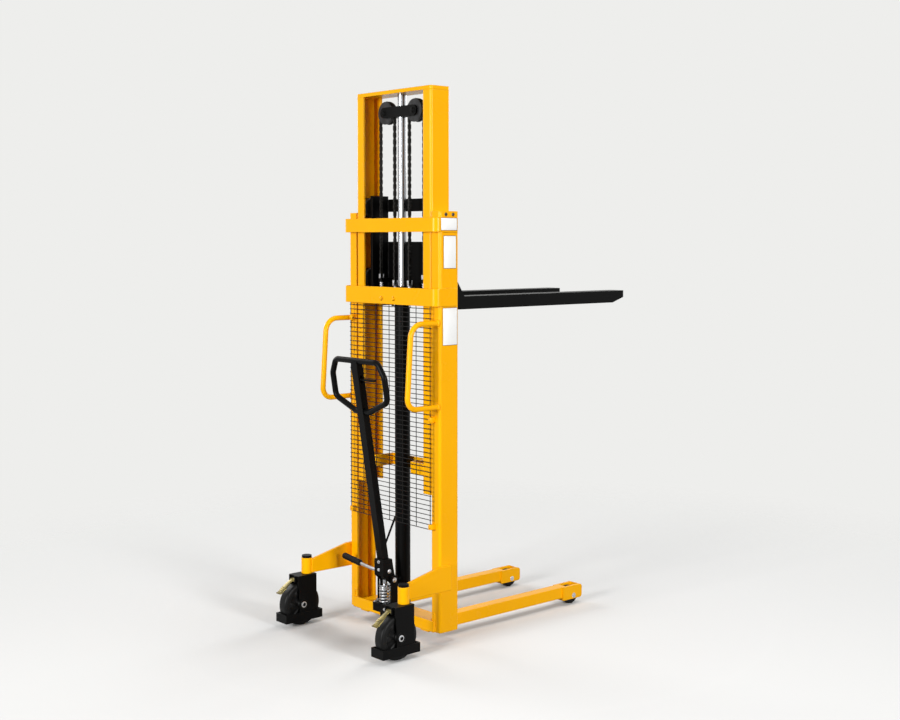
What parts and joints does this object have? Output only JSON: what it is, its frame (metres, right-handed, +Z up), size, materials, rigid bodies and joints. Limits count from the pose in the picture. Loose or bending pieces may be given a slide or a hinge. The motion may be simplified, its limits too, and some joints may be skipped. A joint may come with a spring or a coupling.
{
  "type": "hand pallet stacker",
  "caption": "Hand-pumped pallet stacker: a telescopic chain mast carries flat forks over straddle legs, a tiller works the pump, and braked swivel casters steer it.",
  "frame": {"origin": "on the floor, under the centre of the bounding box", "axes": "+X is the operator's right, +Y points along the forks away from the operator, +Z is up"},
  "size_m": [0.656, 1.383, 2.034],
  "materials": {
    "yellow_paint": "gloss powder coat",
    "black_paint": "satin powder coat",
    "black_wire": "coated wire",
    "chrome": "polished",
    "zinc": "bright zinc plate",
    "yellow_zinc": "yellow zinc plate",
    "chain_steel": "oiled",
    "roller_steel": "turned and greased",
    "bush_brass": "plain",
    "pad_plastic": "natural nylon",
    "wheel_nylon": "black nylon",
    "grip_rubber": "matt"
  },
  "bodies": {
    "frame": {"outer_mast_left": "yellow_paint", "outer_mast_right": "yellow_paint", "upper_crossbar": "yellow_paint", "lower_crossbar": "yellow_paint", "base_beam": "yellow_paint", "left_leg": "yellow_paint", "right_leg": "yellow_paint", "load_roller_axles": "zinc", "left_caster_arm": "yellow_paint", "right_caster_arm": "yellow_paint", "socket_caps": "black_paint", "socket_bushes": "bush_brass", "mesh_guard": "black_wire", "frame_fasteners": "zinc", "left_grab_handle": "yellow_paint", "right_grab_handle": "yellow_paint", "cylinder_tube": "black_paint", "cylinder_gland": "black_paint", "pump_body": "black_paint", "oil_pipe": "black_paint", "chain_anchors": "yellow_paint", "mast_guide_pads": "pad_plastic", "pivot_pin": "zinc", "chain_back_lower": "chain_steel", "pump_spring": "zinc"},
    "inner_mast": {"inner_mast_left": "yellow_paint", "inner_mast_right": "yellow_paint", "inner_top_plate": "yellow_paint", "inner_lower_bar": "yellow_paint", "chain_back_upper": "chain_steel"},
    "inner_mast_rollers": {"inner_mast_rollers": "roller_steel"},
    "ram": {"piston_rod": "chrome", "sheave_crosshead": "black_paint", "chain_front_upper": "chain_steel"},
    "left_sheave": {"left_chain_sheave": "roller_steel"},
    "right_sheave": {"right_chain_sheave": "roller_steel"},
    "lift_chains": {"chain_front_lower": "chain_steel"},
    "carriage": {"carriage_side_plates": "black_paint", "carriage_top_bar": "black_paint", "carriage_lower_plate": "black_paint", "left_fork": "black_paint", "right_fork": "black_paint"},
    "upper_rollers": {"upper_carriage_rollers": "roller_steel"},
    "lower_rollers": {"lower_carriage_rollers": "roller_steel"},
    "tiller": {"tiller_rocker": "black_paint", "tiller_shaft": "black_paint", "tiller_loop": "black_paint", "pedal_bar": "zinc", "pedal_grip": "grip_rubber"},
    "finger_lever": {"finger_lever": "black_paint"},
    "plunger": {"pump_plunger": "chrome"},
    "left_caster": {"left_caster_yoke": "black_paint"},
    "right_caster": {"right_caster_yoke": "black_paint"},
    "left_wheel": {"left_wheel": "wheel_nylon"},
    "right_wheel": {"right_wheel": "wheel_nylon"},
    "left_brake": {"left_brake": "yellow_zinc"},
    "right_brake": {"right_brake": "yellow_zinc"},
    "left_load_roller": {"left_load_roller": "wheel_nylon"},
    "right_load_roller": {"right_load_roller": "wheel_nylon"}
  },
  "joints": [
    {"name": "mast_lift", "type": "slide", "parent": "frame", "child": "inner_mast", "axis": [0, 0, 1], "range_m": [-0.463, 0.355], "deforming": ["chain_back_lower"]},
    {"name": "initial_lift", "type": "slide", "parent": "inner_mast", "child": "ram", "axis": [0, 0, 1], "range_m": [-0.126, 0], "deforming": ["chain_back_upper"]},
    {"name": "chain_travel", "type": "slide", "parent": "ram", "child": "lift_chains", "axis": [0, 0, 1], "range_m": [-0.463, 0.355], "deforming": ["chain_front_upper"]},
    {"name": "carriage_drop", "type": "slide", "parent": "lift_chains", "child": "carriage", "axis": [0, 0, 1], "range_m": [-0.126, 0], "deforming": ["chain_front_lower"]},
    {"name": "left_sheave_turn", "type": "hinge", "parent": "ram", "child": "left_sheave", "pos_m": [-0.08515, -0.3195, 1.955], "axis": [0, 1, 0], "continuous": true},
    {"name": "right_sheave_turn", "type": "hinge", "parent": "ram", "child": "right_sheave", "pos_m": [0.08515, -0.3195, 1.955], "axis": [0, -1, 0], "continuous": true},
    {"name": "inner_mast_roller_turn", "type": "hinge", "parent": "inner_mast", "child": "inner_mast_rollers", "pos_m": [0, -0.3195, 0.588], "axis": [1, 0, 0], "continuous": true},
    {"name": "upper_roller_turn", "type": "hinge", "parent": "carriage", "child": "upper_rollers", "pos_m": [0, -0.3195, 1.6], "axis": [1, 0, 0], "continuous": true},
    {"name": "lower_roller_turn", "type": "hinge", "parent": "carriage", "child": "lower_rollers", "pos_m": [0, -0.3195, 1.33], "axis": [1, 0, 0], "continuous": true},
    {"name": "tiller_stroke", "type": "hinge", "parent": "frame", "child": "tiller", "pos_m": [0, -0.3885, 0.198], "axis": [1, 0, 0], "range_deg": [0, 50], "stiffness_Nm_per_rad": 40, "springref_deg": -17.19},
    {"name": "plunger_stroke", "type": "slide", "parent": "frame", "child": "plunger", "axis": [0, 0, -1], "range_m": [0, 0.0185], "deforming": ["pump_spring"]},
    {"name": "finger_lever_pull", "type": "hinge", "parent": "tiller", "child": "finger_lever", "pos_m": [0.006, -0.52829, 0.96387], "axis": [0, -0.987, -0.1606], "range_deg": [0, 15], "stiffness_Nm_per_rad": 0.5, "springref_deg": -11.46},
    {"name": "left_caster_swivel", "type": "hinge", "parent": "frame", "child": "left_caster", "pos_m": [-0.294, -0.5575, 0.2], "axis": [0, 0, 1], "continuous": true},
    {"name": "left_wheel_roll", "type": "hinge", "parent": "left_caster", "child": "left_wheel", "pos_m": [-0.294, -0.5935, 0.081], "axis": [1, 0, 0], "continuous": true},
    {"name": "left_brake_press", "type": "hinge", "parent": "left_caster", "child": "left_brake", "pos_m": [-0.294, -0.6195, 0.1757], "axis": [1, 0, 0], "range_deg": [0, 8]},
    {"name": "left_load_roll", "type": "hinge", "parent": "frame", "child": "left_load_roller", "pos_m": [-0.18, 0.4055, 0.035], "axis": [1, 0, 0], "continuous": true},
    {"name": "right_caster_swivel", "type": "hinge", "parent": "frame", "child": "right_caster", "pos_m": [0.294, -0.5575, 0.2], "axis": [0, 0, 1], "continuous": true},
    {"name": "right_wheel_roll", "type": "hinge", "parent": "right_caster", "child": "right_wheel", "pos_m": [0.294, -0.5935, 0.081], "axis": [1, 0, 0], "continuous": true},
    {"name": "right_brake_press", "type": "hinge", "parent": "right_caster", "child": "right_brake", "pos_m": [0.294, -0.6195, 0.1757], "axis": [1, 0, 0], "range_deg": [0, 8]},
    {"name": "right_load_roll", "type": "hinge", "parent": "frame", "child": "right_load_roller", "pos_m": [0.18, 0.4055, 0.035], "axis": [1, 0, 0], "continuous": true}
  ],
  "couplings": [
    {"joint": "chain_travel", "follows": "mast_lift", "ratio": 1},
    {"joint": "carriage_drop", "follows": "initial_lift", "ratio": 1},
    {"joint": "left_sheave_turn", "follows": "mast_lift", "rad_per_m": 24.01},
    {"joint": "right_sheave_turn", "follows": "mast_lift", "rad_per_m": 24.01},
    {"joint": "inner_mast_roller_turn", "follows": "mast_lift", "rad_per_m": 26.667},
    {"joint": "upper_roller_turn", "follows": "mast_lift", "rad_per_m": 26.667},
    {"joint": "lower_roller_turn", "follows": "mast_lift", "rad_per_m": 26.667},
    {"joint": "plunger_stroke", "follows": "tiller_stroke", "m_per_rad": 0.02083}
  ]
}
